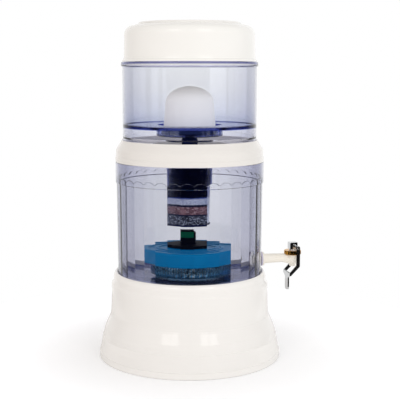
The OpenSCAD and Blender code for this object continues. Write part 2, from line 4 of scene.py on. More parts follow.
import bmesh
import bpy
from bpy.props import FloatProperty, IntProperty, PointerProperty, StringProperty
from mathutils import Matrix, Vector


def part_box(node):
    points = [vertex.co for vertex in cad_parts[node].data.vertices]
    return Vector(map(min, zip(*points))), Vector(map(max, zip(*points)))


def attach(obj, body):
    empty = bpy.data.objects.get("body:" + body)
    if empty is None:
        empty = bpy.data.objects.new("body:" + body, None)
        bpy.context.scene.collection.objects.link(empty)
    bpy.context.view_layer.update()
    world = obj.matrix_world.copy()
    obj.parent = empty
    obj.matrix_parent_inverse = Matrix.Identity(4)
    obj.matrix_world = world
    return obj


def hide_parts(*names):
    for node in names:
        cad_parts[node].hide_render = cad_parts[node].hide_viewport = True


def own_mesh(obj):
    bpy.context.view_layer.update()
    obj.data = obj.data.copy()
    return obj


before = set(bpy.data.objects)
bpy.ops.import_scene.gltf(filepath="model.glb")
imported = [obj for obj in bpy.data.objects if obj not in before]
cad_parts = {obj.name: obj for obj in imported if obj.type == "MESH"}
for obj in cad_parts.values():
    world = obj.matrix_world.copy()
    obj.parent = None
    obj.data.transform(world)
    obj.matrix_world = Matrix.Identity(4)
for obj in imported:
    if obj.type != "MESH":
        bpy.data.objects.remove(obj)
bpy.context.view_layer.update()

bl_info = {
    "name": "Gravity Water Filter",
    "version": (1, 0, 0),
    "blender": (4, 5, 0),
    "location": "View3D > Sidebar > Water Filter",
    "description": "Clear tanks, filter media, finishes and a studio for a gravity water filter",
    "category": "Object",
}

MM = 0.001
WHITE = (1, 1, 1, 1)
ANY_TURN = (6.28, 6.28, 6.28)

# pale cards round the object: angle from the camera and width, in degrees, and brightness
CARDS = ((106, 36, 1.1), (67, 15, 1.0), (47, 7, 0.8), (-54, 34, 1.7), (-82, 14, 1.2), (-108, 38, 1.4))

# the picture's width and how far left of its middle the filter's axis stands, in pixels
PICTURE_WIDTH_PX = 400
AXIS_OFFSET_PX = 10.4


# -------- settings


class TankSettings(bpy.types.PropertyGroup):
    """Sizes of the two clear tanks and the tint of their plastic"""

    panel_count: IntProperty(
        name="Panels", description="Flat panels inside the lower tank", default=36, min=12, max=72)
    panel_radius: FloatProperty(
        name="Panel distance", description="Distance from the axis to a flat panel, in millimetres",
        default=115.0, min=100.0, max=116.0)
    ledge_height: FloatProperty(
        name="Arch foot", description="Height at which the panels' arches start, in millimetres",
        default=292.0, min=200.0, max=310.0)
    arch_height: FloatProperty(
        name="Arch", description="Rise of the arch that closes each panel, in millimetres",
        default=4.0, min=0.5, max=12.0)
    thin_tint: StringProperty(
        name="Thin wall", description="Colour of the upper tank's wall at its thin top edge, as a hex value",
        default="#FDFEFF")
    thick_tint: StringProperty(
        name="Thick wall", description="Colour of the upper tank's wall near its floor, as a hex value",
        default="#E1E5F1")
    edge_tint: StringProperty(
        name="Edge tint", description="Colour that the plastic takes along an edge, as a hex value",
        default="#2750B4")
    tint_density: FloatProperty(
        name="Edge density", description="How fast the plastic darkens along an edge, per metre",
        default=14.0, min=0.0, max=400.0)


class MediaSettings(bpy.types.PropertyGroup):
    """Sizes of the loose filter media"""

    ball_radius: FloatProperty(
        name="Ball radius", description="Radius of a mineral ball, in millimetres",
        default=1.3, min=0.5, max=3.0)
    grain_radius: FloatProperty(
        name="Grain radius", description="Radius of a sand grain, in millimetres",
        default=0.7, min=0.3, max=2.0)
    stone_radius: FloatProperty(
        name="Stone radius", description="Radius of a stone in the case, in millimetres",
        default=3.4, min=2.0, max=8.0)
    seed: IntProperty(
        name="Seed", description="Seed of the media's random places and turns", default=7, min=0)


class SpringSettings(bpy.types.PropertyGroup):
    """Sizes of the tap's valve spring"""

    coil_radius: FloatProperty(
        name="Coil radius", description="Radius of the coil to the wire's middle, in millimetres",
        default=5.0, min=2.0, max=5.4)
    wire_radius: FloatProperty(
        name="Wire radius", description="Radius of the wire, in millimetres",
        default=0.5, min=0.2, max=0.55)
    turns: IntProperty(
        name="Working turns", description="Turns between the two closed end turns", default=3, min=1, max=5)
    travel: FloatProperty(
        name="Travel", description="How much shorter the spring gets at the valve's limit, in millimetres",
        default=2.0, min=0.0, max=3.0)


class FinishSettings(bpy.types.PropertyGroup):
    """Colours of the opaque pieces, as hex values"""

    shell: StringProperty(name="Lid", description="White of the lid", default="#F3F2EE")
    base: StringProperty(name="Base", description="Warm white of the base", default="#F3F1EE")
    tap: StringProperty(name="Tap", description="Ivory of the tap's body", default="#F7F1E4")
    case_lid: StringProperty(name="Case lid", description="Blue of the stone case's lid",
                             default="#006BA4")
    handle: StringProperty(name="Handle", description="Black of the case's handle", default="#020306")
    inlay: StringProperty(name="Inlay", description="Green of the handle's plate", default="#005238")
    dome: StringProperty(name="Dome", description="White of the ceramic dome", default="#F7F7F9")


class StudioSettings(bpy.types.PropertyGroup):
    """Camera and light"""

    camera_distance: FloatProperty(
        name="Camera distance", description="Level distance from the axis to the camera",
        default=1.532, min=0.5, max=5.0, subtype="DISTANCE")
    camera_height: FloatProperty(
        name="Camera height", description="Height of the camera over the floor",
        default=0.464, min=0.0, max=2.0, subtype="DISTANCE")
    camera_azimuth: FloatProperty(
        name="Camera azimuth", description="Angle of the camera round the object, from -Y",
        default=math.radians(-13.1), subtype="ANGLE")
    camera_pitch: FloatProperty(
        name="Camera pitch", description="Angle that the camera looks down",
        default=math.radians(7.746), subtype="ANGLE")
    lens: FloatProperty(
        name="Lens", description="Focal length on a 36 mm sensor, in millimetres", default=85.4)
    key_power: FloatProperty(
        name="Key power", description="Power of each softbox pane, in watts", default=3.2, min=0.0)
    fill: FloatProperty(
        name="Fill", description="Strength of the room's light on matt surfaces", default=1.04, min=0.0)
    front_level: FloatProperty(
        name="Front level", description="Brightness of the room before the object, as gloss mirrors it",
        default=0.008, min=0.0, max=1.0)
    far_side: StringProperty(
        name="Far side", description="Colour of the room where a thick edge bends the view aside",
        default="#141E50")
    left_fill: FloatProperty(
        name="Left fill", description="Share of the fill from the left", default=1.05, min=0.0)
    right_fill: FloatProperty(
        name="Right fill", description="Share of the fill from the right", default=1.26, min=0.0)
    overhead: FloatProperty(
        name="Overhead", description="Share of the fill that comes from straight above and below",
        default=0.6, min=0.0, max=1.0)
    cards: FloatProperty(
        name="Cards", description="Brightness of the pale cards, as the tanks' far walls mirror them",
        default=1.0, min=0.0)
    floor_lift: FloatProperty(
        name="Table lift", description="Light added to the table top as the camera sees it",
        default=0.36, min=0.0, max=1.0)
    table_radius: FloatProperty(
        name="Table radius", description="Radius of the table top", default=0.5, min=0.3, max=5.0,
        subtype="DISTANCE")


# -------- nodes


def linear(hex_colour):
    """An sRGB hex value as a linear colour."""
    channels = [int(hex_colour[i:i + 2], 16) / 255 for i in (1, 3, 5)]
    return tuple(c / 12.92 if c <= 0.04045 else ((c + 0.055) / 1.055) ** 2.4 for c in channels) + (1,)


def add(tree, kind, inputs=None, **settings):
    """A new node with its settings, and its inputs set to values or linked to sockets."""
    node = tree.nodes.new(kind)
    for name, value in settings.items():
        setattr(node, name, value)
    for name, value in (inputs or {}).items():
        if isinstance(value, bpy.types.NodeSocket):
            tree.links.new(value, node.inputs[name])
        else:
            node.inputs[name].default_value = value
    return node


def calc(tree, operation, *values):
    """What a math node makes of its values."""
    return add(tree, "ShaderNodeMath", dict(enumerate(values)), operation=operation).outputs[0]


def calc_vector(tree, operation, *values):
    """What a vector math node makes of its values."""
    node = add(tree, "ShaderNodeVectorMath", dict(enumerate(values)), operation=operation)
    return node.outputs["Value" if operation in ("LENGTH", "DOT_PRODUCT") else "Vector"]


def mapped(tree, value, low=0.0, high=1.0, to_low=0.0, to_high=1.0, **settings):
    """A value carried from one range into another, and held inside it."""
    ends = {"Value": value, "From Min": low, "From Max": high, "To Min": to_low, "To Max": to_high}
    return add(tree, "ShaderNodeMapRange", ends, **settings).outputs["Result"]


def mix_colours(tree, factor, first, second, blend="MIX"):
    """Two colours mixed, or the second laid over the first."""
    inputs = {"Factor": factor, 6: first, 7: second}
    return add(tree, "ShaderNodeMix", inputs, data_type="RGBA", blend_type=blend).outputs[2]


def mix_shaders(tree, factor, first, second):
    """Two shaders mixed."""
    return add(tree, "ShaderNodeMixShader", {0: factor, 1: first, 2: second}).outputs[0]


def ramp(tree, factor, stops, interpolation="LINEAR"):
    """A colour ramp through stops of (position, hex value)."""
    node = add(tree, "ShaderNodeValToRGB", {"Fac": factor})
    node.color_ramp.interpolation = interpolation
    elements = node.color_ramp.elements
    while len(elements) < len(stops):
        elements.new(0.5)
    for element, (position, colour) in zip(elements, stops):
        element.position = position
        element.color = linear(colour)
    return node.outputs["Color"]


def noise(tree, place, width, detail):
    """Noise with marks of a width in millimetres."""
    return add(tree, "ShaderNodeTexNoise",
               {"Vector": place, "Scale": 1000 / width, "Detail": detail}).outputs["Fac"]


def bump(tree, height, depth, strength, **settings):
    """A surface's normal with bumps of a depth in millimetres."""
    return add(tree, "ShaderNodeBump", {"Strength": strength, "Distance": depth * MM, "Height": height},
               **settings).outputs["Normal"]


def object_place(tree):
    """Coordinates that stay with the object."""
    return add(tree, "ShaderNodeTexCoord").outputs["Object"]


# -------- materials


def new_material(name):
    """An empty node material and its tree."""
    material = bpy.data.materials.new(name)
    material.use_nodes = True
    material.node_tree.nodes.clear()
    return material, material.node_tree


def principled(tree, **inputs):
    """A Principled shader as the material's surface; an input's name has _ for each space."""
    shader = add(tree, "ShaderNodeBsdfPrincipled", {name.replace("_", " "): v for name, v in inputs.items()})
    add(tree, "ShaderNodeOutputMaterial", {"Surface": shader.outputs["BSDF"]})


def moulded(name, colour, spot, roughness, orange_peel=0.7, depth=0.012, flow=45.0, gloss=0.5,
            bloom=0.0, bloom_tint="#FFFFFF"):
    """Injection-moulded plastic: faint flow marks in the colour, and the orange peel of a mould wall.

    orange_peel is the width of a bump and flow that of a flow mark, both in millimetres. bloom is the pale
    film that a waxy plastic shows where it is seen at a slant."""
    material, tree = new_material(name)
    place = object_place(tree)
    marks = noise(tree, place, flow, 3.0)
    peel = noise(tree, place, orange_peel, 2.0)
    principled(tree, Base_Color=mix_colours(tree, marks, linear(colour), linear(spot)),
               Roughness=mapped(tree, marks, to_low=roughness - 0.03, to_high=roughness + 0.03),
               Normal=bump(tree, peel, depth, 0.25), IOR=1.5, Specular_IOR_Level=gloss,
               Sheen_Weight=bloom, Sheen_Tint=linear(bloom_tint), Sheen_Roughness=0.3)
    return material


def clear_plastic(name, heights, slant, depth_tint, density, haze=0.01, shine="#FFFFFF", core=None,
                  cloud=0.0):
    """Clear styrene plastic, injection-moulded and polished, tinted through its whole wall.

    heights lists the wall's colour as (height in millimetres, hex value), since a drafted wall is thinnest
    at its top edge and thick again in its rim; in the upper tank the nearly clear skirt is painted light and
    the darkest band at the rim's top is painted shade from the lid's flange. A level floor takes that colour
    where it is seen at a slant and is pale where it is seen steeply, through its thickness alone.
    Seen at a slant the plastic deepens by the colour slant, and floors and edges seen along their length
    go dark by depth_tint. shine dims what the wall mirrors head-on.
    core gives the radius, in millimetres, of a thicker well round the axis and the colour it adds. cloud is
    the share of light that a milky plastic scatters.
    Light on its way to or from a matt surface passes straight through, so what stands inside is lit."""
    smear_width, level_normal, steep_from, steep_to, steep_tint = 60, 0.8, 0.52, 0.78, "#F0F1FA"
    material, tree = new_material(name)
    place = add(tree, "ShaderNodeTexCoord")
    axes = add(tree, "ShaderNodeSeparateXYZ", {0: place.outputs["Object"]})
    low, high = heights[0][0], heights[-1][0]
    wall = ramp(tree, mapped(tree, axes.outputs["Z"], low * MM, high * MM),
                [((height - low) / (high - low), colour) for height, colour in heights])
    turned_away = add(tree, "ShaderNodeLayerWeight", {"Blend": 0.5}).outputs["Facing"]
    tinted = mix_colours(tree, turned_away, wall, linear(slant), "MULTIPLY")
    if core:
        level_place = calc_vector(tree, "MULTIPLY", place.outputs["Object"], (1, 1, 0))
        near = calc(tree, "LESS_THAN", calc_vector(tree, "LENGTH", level_place), core[0] * MM)
        tinted = mix_colours(tree, near, tinted, linear(core[1]), "MULTIPLY")
    upward = add(tree, "ShaderNodeSeparateXYZ", {0: place.outputs["Normal"]}).outputs["Z"]
    is_level = calc(tree, "GREATER_THAN", calc(tree, "ABSOLUTE", upward), level_normal)
    steep = mapped(tree, turned_away, steep_from, steep_to, 1.0, 0.0)
    tinted = mix_colours(tree, calc(tree, "MULTIPLY", is_level, steep), tinted, linear(steep_tint))
    smears = noise(tree, place.outputs["Object"], smear_width, 2.0)
    shader = add(tree, "ShaderNodeBsdfPrincipled",
                 {"Base Color": tinted, "Transmission Weight": 1.0 - cloud, "IOR": 1.56,
                  "Roughness": mapped(tree, smears, to_high=haze), "Specular Tint": linear(shine)})
    path = add(tree, "ShaderNodeLightPath").outputs
    matt_side = calc(tree, "MAXIMUM", path["Is Shadow Ray"], path["Is Diffuse Ray"])
    passed = add(tree, "ShaderNodeBsdfTransparent").outputs[0]
    depth = add(tree, "ShaderNodeVolumeAbsorption", {"Color": linear(depth_tint), "Density": density})
    add(tree, "ShaderNodeOutputMaterial",
        {"Surface": mix_shaders(tree, matt_side, shader.outputs["BSDF"], passed),
         "Volume": depth.outputs["Volume"]})
    return material


def metal(name, colour, roughness, grain=0.4, stretch=(1, 1, 1)):
    """Bare or plated metal: fine casting or drawing marks under the finish.

    grain is the width of a mark in millimetres, and stretch draws the marks out along an axis."""
    material, tree = new_material(name)
    drawn = add(tree, "ShaderNodeMapping", {"Vector": object_place(tree), "Scale": stretch})
    marks = noise(tree, drawn.outputs["Vector"], grain, 4.0)
    principled(tree, Base_Color=linear(colour), Metallic=1.0, Normal=bump(tree, marks, 0.004, 0.2),
               Roughness=mapped(tree, marks, to_low=roughness * 0.7, to_high=roughness * 1.3))
    return material


def grained(name, colours, size, roughness, depth):
    """Loose or sintered grains: each cell takes one of the colours and stands out as a small bump.

    size is a grain's width and depth its height, both in millimetres."""
    material, tree = new_material(name)
    cells = add(tree, "ShaderNodeTexVoronoi", {"Vector": object_place(tree), "Scale": 1000 / size})
    stops = [(i / len(colours), colour) for i, colour in enumerate(colours)]
    principled(tree, Base_Color=ramp(tree, cells.outputs["Color"], stops, "CONSTANT"), Roughness=roughness,
               Normal=bump(tree, cells.outputs["Distance"], depth, 0.7, invert=True))
    return material


def make_finishes(tank, finish):
    """Every finish by name."""
    return {
        # ABS, high-gloss mould: an even white with a soft, slightly uneven shine
        "shell_abs": moulded("gloss_abs_white", finish.shell, "#F6F5F2", 0.16, depth=0.006),
        # the collar: the same white ABS as the lid, painted a shade darker for the shade it stands in under
        # the upper tank
        "shaded_collar_abs": moulded("gloss_abs_collar_painted_shade", "#E9E6E2", "#EDEAE6", 0.16, depth=0.006),
        # polypropylene, moulded thick: warmer, with broad soft highlights
        "base_pp": moulded("gloss_pp_ivory", finish.base, "#F6F4F1", 0.10, orange_peel=1.1, depth=0.006),
        # ABS of a tap, tumbled: ivory, a little duller
        "tap_abs": moulded("satin_abs_ivory", finish.tap, "#F9F5EC", 0.32, flow=12.0),
        # styrene-acrylonitrile, clear with a violet-blue tint that deepens along a wall; painted shade
        # darkens the rim's top under the lid's flange
        "tank_san": clear_plastic(
            "clear_san_tint",
            # painted light: the skirt, 347 to 373.5 mm, is kept nearly clear so the shaded collar deck
            # behind it reads brighter
            [(347, "#FAFBFF"), (373.5, "#FAFBFF"), (374.8, "#7A88D0"), (378.5, "#7A88D0"),
             (379.6, tank.thick_tint), (388, "#E8EBF4"), (400, "#F1F3F9"), (434, "#F9FAFC"),
             (464, tank.thin_tint), (469.8, tank.thin_tint), (470.6, "#BEC0E2"), (472, "#BEC0E2"),
             # painted shade: the darkest band, from 475.6 mm up, stands for the shade under the lid's flange
             (472.8, tank.thin_tint), (474.5, tank.thin_tint), (475.6, "#8F93C4"),
             (478.6, "#7B80B8")],
            "#D4D4DF", tank.edge_tint, tank.tint_density, core=(54.5, "#98A4D0")),
        # the lower tank: the same plastic in a thicker, panelled wall
        "panel_san": clear_plastic(
            "clear_san_panelled",
            [(128, "#6474C8"), (132.5, "#6474C8"), (134.5, "#EEEEF2"), (285, "#F0F1F4"),
             (320, "#EFEFF6")],
            "#B6B7CC", tank.edge_tint, tank.tint_density),
        # the cartridge's tube: the same plastic, more strongly tinted
        "tube_san": clear_plastic(
            "clear_san_smoke", [(200, "#C3CBE0"), (261, "#C3CBE0"), (263, "#4658A0"), (300, "#4658A0")],
            "#D0D4E4", "#2B4CA6", 20.0, haze=0.03, shine="#3C3C3C"),
        # the stone case: dark blue translucent polystyrene
        "case_ps": clear_plastic(
            "smoke_ps_blue", [(130, "#7CBCE4"), (142, "#7CBCE4"), (146, "#94C4E0"), (180, "#94C4E0")],
            "#DCE8F0", "#1C78A8", 22.0, haze=0.04, shine="#505050", cloud=0.06),
        # polypropylene lid, blue all through, with a moulded satin shine
        "case_lid_pp": moulded("satin_pp_blue", finish.case_lid, "#0076AE", 0.3, flow=20.0,
                               gloss=0.06, bloom=0.5, bloom_tint="#78CCFC"),
        # glass-filled nylon, black, as moulded
        "handle_pa": moulded("satin_nylon_black", finish.handle, "#05070C", 0.5, flow=8.0, gloss=0.05),
        # acrylic plate, green, polished
        "inlay_pmma": moulded("gloss_acrylic_green", finish.inlay, "#025C40", 0.18, flow=6.0, gloss=0.2),
        # acetal nuts and bush, white, as moulded
        "nut_pom": moulded("satin_acetal_white", "#E9E9E6", "#F1F1EE", 0.35, flow=10.0),
        # fired diatomite: chalky white with fine pores
        "dome_ceramic": grained("fired_diatomite", [finish.dome, "#FBFBFC", "#F4F4F6"], 0.7, 0.75, 0.02),
        # polypropylene foot plate, slate
        "plate_pp": moulded("satin_pp_slate", "#2F3A52", "#374462", 0.35, flow=15.0),
        # polypropylene head, nut and foot of the cartridge, navy
        "navy_pp": moulded("gloss_pp_navy", "#05123A", "#081746", 0.25, flow=20.0, gloss=0.05),
        # hard chrome over a zinc casting, polished
        "chrome": metal("polished_chrome", "#D9DADB", 0.06),
        # turned brass, polished
        "brass": metal("polished_brass", "#C9923E", 0.09),
        # drawn stainless steel
        "stainless": metal("drawn_stainless", "#BDBBB6", 0.25, grain=0.2, stretch=(1, 1, 0.1)),
        # nitrile rubber, moulded
        "rubber": moulded("moulded_nitrile", "#17181A", "#1E1F22", 0.7, orange_peel=0.4, depth=0.03,
                          flow=5.0),
        # silicone washer, moulded, milky lavender
        "silicone": moulded("moulded_silicone", "#BDB8CC", "#C9C4D6", 0.5, orange_peel=0.5, flow=5.0),
        # needle felt, dark blue-grey
        "felt": grained("needle_felt", ["#1A2038", "#232A45", "#141A2E"], 0.5, 0.95, 0.2),
        # crushed coconut-shell carbon
        "carbon": grained("granular_carbon", ["#05070C", "#0A0D14", "#10141E", "#06080C"], 1.6, 0.5,
                          0.5),
        # washed silica grains
        "silica": grained("silica_grains", ["#D8DAE2", "#F0F1F4", "#BCC0CE", "#FFFFFF"], 1.0, 0.6, 0.3),
        # fired mineral balls, reddish
        "balls": grained("fired_mineral_balls", ["#A37571", "#B98A85", "#875B5B", "#CBA8A2"], 2.4, 0.6,
                         0.1),
        # mixed black and white mineral sand
        "sand": grained("mineral_sand",
                        ["#1A1C22", "#2A2D33", "#6F727A", "#16181D", "#C9CBD0", "#202329"], 1.1, 0.5, 0.2),
        # tumbled quartz, blue-grey
        "pebble": grained("tumbled_quartz", ["#607C94", "#B8CCDA", "#466480", "#96B0C4", "#3A5870"], 4.0,
                          0.6, 0.1),
    }


FINISHES = {}


def materials():
    """The finishes by name, made once."""
    if not FINISHES:
        scene = bpy.context.scene
        FINISHES.update(make_finishes(scene.filter_tanks, scene.filter_finishes))
    return FINISHES


# the finish of each frame node, those that a piece below replaces among them
NODE_FINISHES = {
    "lid": "shell_abs", "collar": "shaded_collar_abs", "base": "base_pp", "tap_body": "tap_abs",
    "upper_tank": "tank_san", "lower_tank": "panel_san", "cartridge_case": "tube_san",
    "stone_case": "case_ps", "stone_case_lid": "case_lid_pp", "handle_disc": "handle_pa",
    "handle": "handle_pa", "handle_inlay": "inlay_pmma", "tap_lock_nut": "nut_pom",
    "stem_guide": "nut_pom", "dome": "dome_ceramic", "dome_plate": "plate_pp",
    "dome_nut": "navy_pp", "cartridge_head": "navy_pp", "cartridge_grille": "navy_pp",
    "yoke_block": "chrome", "lever": "chrome", "bonnet_nut": "brass", "lever_pin": "stainless",
    "lever_cam": "stainless", "valve_stem": "stainless", "valve_spring": "stainless",
    "tap_outer_washer": "silicone", "tap_inner_washer": "silicone", "dome_gasket": "rubber",
    "seat_cup": "rubber", "filter_pads": "felt", "carbon_bed": "carbon", "silica_bed": "silica",
    "mineral_bed": "balls", "sand_bed": "sand", "stones": "pebble",
}


def dress(node, material):
    """Gives a frame node a finish."""
    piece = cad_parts[node]
    if not piece.material_slots:
        piece.data.materials.append(material)
    for slot in piece.material_slots:
        slot.material = material


# -------- meshes


def in_scene(name, data):
    """A new scene object at the origin."""
    thing = bpy.data.objects.new(name, data)
    bpy.context.scene.collection.objects.link(thing)
    return thing


def piece_from(mesh, name, material):
    """A piece at the origin for a finished mesh."""
    mesh.materials.clear()
    mesh.materials.append(material)
    return in_scene(name, mesh)


def arc(r0, z0, radius, start, end, steps=6):
    """Points along an arc in the r-z plane, in millimetres and degrees."""
    turn = [math.radians(start + (end - start) * i / steps) for i in range(steps + 1)]
    return [(r0 + radius * math.cos(a), z0 + radius * math.sin(a)) for a in turn]


def held(points, pattern):
    """A closed outline with a point put in near both ends of each stretch that is long in the pattern.

    The extra points keep a long wall's shading straight right up to its rounded ends."""
    reach, long = 0.3, 4.0
    result = []
    for i, (r, z) in enumerate(points):
        r2, z2 = points[(i + 1) % len(points)]
        pr, pz = pattern[(i + 1) % len(points)]
        result.append((r, z))
        if math.dist(pattern[i], (pr, pz)) > long and not (pattern[i][0] == 0 and pr == 0):
            share = reach / math.dist((r, z), (r2, z2))
            result.append((r + (r2 - r) * share, z + (z2 - z) * share))
            result.append((r2 + (r - r2) * share, z2 + (z - z2) * share))
    return result


def lathe(columns):
    """A closed surface through columns of points that stand side by side round the axis, in millimetres.

    Each column is (angle in degrees, points as r and z), and all have as many points."""
    columns = [(angle, held(points, columns[0][1])) for angle, points in columns]
    shape = bmesh.new()
    grid = []
    for angle, points in columns:
        c, s = math.cos(math.radians(angle)) * MM, math.sin(math.radians(angle)) * MM
        grid.append([shape.verts.new((r * c, r * s, z * MM)) for r, z in points])
    full_circle = columns[-1][0] - columns[0][0] > 359
    count = len(grid) - 1
    for i in range(count):
        left, right = grid[i], grid[(i + 1) % count if full_circle else i + 1]
        rows = len(left)
        for a in range(rows):
            b = (a + 1) % rows
            if columns[0][1][a][0] or columns[0][1][b][0]:
                shape.faces.new((left[a], right[a], right[b], left[b]))
    return shape


def skin(shape, rings):
    """Faces between each ring of points and the next."""
    for near, far in zip(rings, rings[1:]):
        for i in range(len(near)):
            j = (i + 1) % len(near)
            shape.faces.new((near[i], near[j], far[j], far[i]))


def mesh_of(shape, name):
    """A mesh of an edited shape, which is freed."""
    mesh = bpy.data.meshes.new(name)
    shape.to_mesh(mesh)
    shape.free()
    return mesh


def finish_surface(shape, name, crease=40.0, fine_crease=None):
    """Turns an edited shape into a smooth mesh with sharp edges where it turns by more than crease.

    fine_crease is the smaller limit that upright edges get, for the corners between flat panels."""
    bmesh.ops.remove_doubles(shape, verts=shape.verts, dist=1e-6)
    bmesh.ops.dissolve_degenerate(shape, edges=shape.edges, dist=1e-7)
    bmesh.ops.recalc_face_normals(shape, faces=shape.faces)
    for face in shape.faces:
        face.smooth = True
    for edge in shape.edges:
        turn = math.degrees(edge.calc_face_angle(0.0))
        low, high = (v.co for v in edge.verts)
        upright = math.hypot(low.x - high.x, low.y - high.y) < abs(low.z - high.z) * 0.5
        edge.smooth = turn < (fine_crease if fine_crease and upright else crease)
    return mesh_of(shape, name)


def turned(name, outline, material, segments):
    """A round piece from its closed half outline, as points of r and z in millimetres."""
    columns = [(360 * i / segments, outline) for i in range(segments + 1)]
    return piece_from(finish_surface(lathe(columns), name), name, material)


def geometry_tree(name, sockets):
    """A Geometry Nodes tree with a geometry in and out, and inputs given as (name, type)."""
    tree = bpy.data.node_groups.new(name, "GeometryNodeTree")
    tree.interface.new_socket("Geometry", in_out="INPUT", socket_type="NodeSocketGeometry")
    for title, kind in (*sockets, ("Material", "NodeSocketMaterial")):
        tree.interface.new_socket(title, in_out="INPUT", socket_type=kind)
    tree.interface.new_socket("Geometry", in_out="OUTPUT", socket_type="NodeSocketGeometry")
    return tree, add(tree, "NodeGroupInput").outputs


def end_tree(tree, geometry, material):
    """Gives a tree's geometry its finish and hands it out."""
    finish = add(tree, "GeometryNodeSetMaterial", {"Geometry": geometry, "Material": material})
    add(tree, "NodeGroupOutput", {0: finish.outputs[0]})


def copies_on(tree, points, instance, **inputs):
    """Real copies of an instance on points."""
    copies = add(tree, "GeometryNodeInstanceOnPoints", {"Points": points, "Instance": instance, **inputs})
    return add(tree, "GeometryNodeRealizeInstances", {"Geometry": copies.outputs[0]}).outputs[0]


def random_vector(tree, seed, high, low=(0, 0, 0)):
    """A random vector for each point."""
    return add(tree, "FunctionNodeRandomValue", {0: low, 1: high, "Seed": seed},
               data_type="FLOAT_VECTOR").outputs[0]


def grow(host, tree, name, material, **values):
    """Runs a tree on a host object and returns its result as a plain piece; the host is removed."""
    values["Material"] = material
    modifier = host.modifiers.new(name, "NODES")
    modifier.node_group = tree
    for item in tree.interface.items_tree:
        if getattr(item, "in_out", "") == "INPUT" and item.name in values:
            modifier[item.identifier] = values[item.name]
    host.update_tag()
    bpy.context.view_layer.update()
    graph = bpy.context.evaluated_depsgraph_get()
    mesh = bpy.data.meshes.new_from_object(host.evaluated_get(graph), depsgraph=graph)
    host.modifiers.remove(modifier)
    bpy.data.objects.remove(host)
    mesh.name = name
    return piece_from(mesh, name, material)


# -------- pieces


class FILTER_OT_finishes(bpy.types.Operator):
    """Gives every frame node its finish"""

    bl_idname = "filter.finishes"
    bl_label = "Finishes"

    def execute(self, context):
        for node, finish in NODE_FINISHES.items():
            dress(node, materials()[finish])
        return {"FINISHED"}


class FILTER_OT_upper_tank(bpy.types.Operator):
    """Makes the clear upper tank with its rim, floor and well"""

    bl_idname = "filter.upper_tank"
    bl_label = "Upper tank"

    def execute(self, context):
        inside, outside, skirt_inside, bead = 104.9, 107.5, 103.5, 109.6
        stem_hole, well_inside, well_outside = 8, 51.1, 53.7
        skirt_foot, well_foot, well_floor, floor_foot, floor, rim = 347, 360.5, 363.5, 374.9, 378.4, 478.6
        fillet = 2
        outline = (
            [(stem_hole, well_foot), (well_outside - fillet, well_foot)]
            + arc(well_outside - fillet, well_foot + fillet, fillet, -90, 0)
            + [(well_outside, floor_foot), (inside, floor_foot), (inside, 360), (skirt_inside, 357.5)]
            + [(skirt_inside, skirt_foot), (outside, skirt_foot), (outside, rim - 8.4)]
            + [(bead - 0.5, rim - 7.2), (bead, rim - 6.4), (bead, rim - 2.6)]
            + arc(bead - 1.6, rim - 2.2, 1.6, 15, 75, 4)
            + [(outside + 0.3, rim), (inside + 0.8, rim), (inside, rim - 1), (inside, floor + fillet)]
            + arc(inside - fillet, floor + fillet, fillet, 0, -90)
            + [(well_inside, floor), (well_inside, well_floor), (stem_hole, well_floor)]
        )
        piece = turned("upper_tank_shell", outline, materials()["tank_san"], segments=360)
        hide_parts("upper_tank")
        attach(piece, "upper")
        return {"FINISHED"}


def panel_wedge(tank):
    """One panel's share of the lower tank, from its floor to its neck, with the arch over the panel."""
    foot, floor, wall_foot, band, band_top, neck, neck_inside, neck_top = (
        128, 132, 116.8, 119.7, 320, 118.1, 116.6, 330.5)
    inner, fillet, edge_round, floor_middle = 2, 2.5, 0.9, 60
    half_angle = math.radians(180 / tank.panel_count)
    edge = tank.panel_radius * math.tan(half_angle)
    # the arch is the top of an ellipse whose middle lies a drop below the panel's top
    drop, reach = 1.2, 8.6 * edge / 10.06
    rise = tank.arch_height + drop
    arch_foot = reach * math.sqrt(1 - (drop / rise) ** 2)
    across = [-edge, -0.5 * (edge + arch_foot)]
    across += [arch_foot * math.sin(math.radians(a)) for a in range(-90, 91, 10)]
    across += [0.5 * (edge + arch_foot), edge]
    outside = (
        [(0, foot), (floor_middle, foot), (wall_foot - fillet, foot)]
        + arc(wall_foot - fillet, foot + fillet, fillet, -90, 0)
        + [(118.2, 286), (band, 287.2), (band, band_top - 0.6), (band - 0.6, band_top)]
        + [(neck, band_top), (neck, neck_top), (neck_inside, neck_top)]
    )
    columns = []
    for u in across:
        flat = math.hypot(u, tank.panel_radius)
        top = tank.ledge_height
        if abs(u) < arch_foot:
            top += rise * math.sqrt(1 - (u / reach) ** 2) - drop
        inside = [(neck_inside, top)] + arc(flat + edge_round, top - edge_round, edge_round, 90, 180, 4)
        inside += [(flat, 200), (flat, floor + inner)]
        inside += arc(flat - inner, floor + inner, inner, 0, -90, 4) + [(floor_middle, floor), (0, floor)]
        columns.append((math.degrees(math.atan2(u, tank.panel_radius)), outside + inside))
    return mesh_of(lathe(columns), "tank_panel")


def panels_tree():
    """A tree that sets copies of a wedge round the axis."""
    tree, given = geometry_tree("panels_round_the_axis", [("Count", "NodeSocketInt")])
    index = add(tree, "GeometryNodeInputIndex").outputs[0]
    step = calc(tree, "DIVIDE", math.tau, given["Count"])
    angle = calc(tree, "MULTIPLY", calc(tree, "ADD", index, 0.5), step)
    turn = add(tree, "ShaderNodeCombineXYZ", {"Z": angle})
    points = add(tree, "GeometryNodePoints", {"Count": given["Count"]})
    real = copies_on(tree, points.outputs[0], given["Geometry"], Rotation=turn.outputs[0])
    end_tree(tree, real, given["Material"])
    return tree


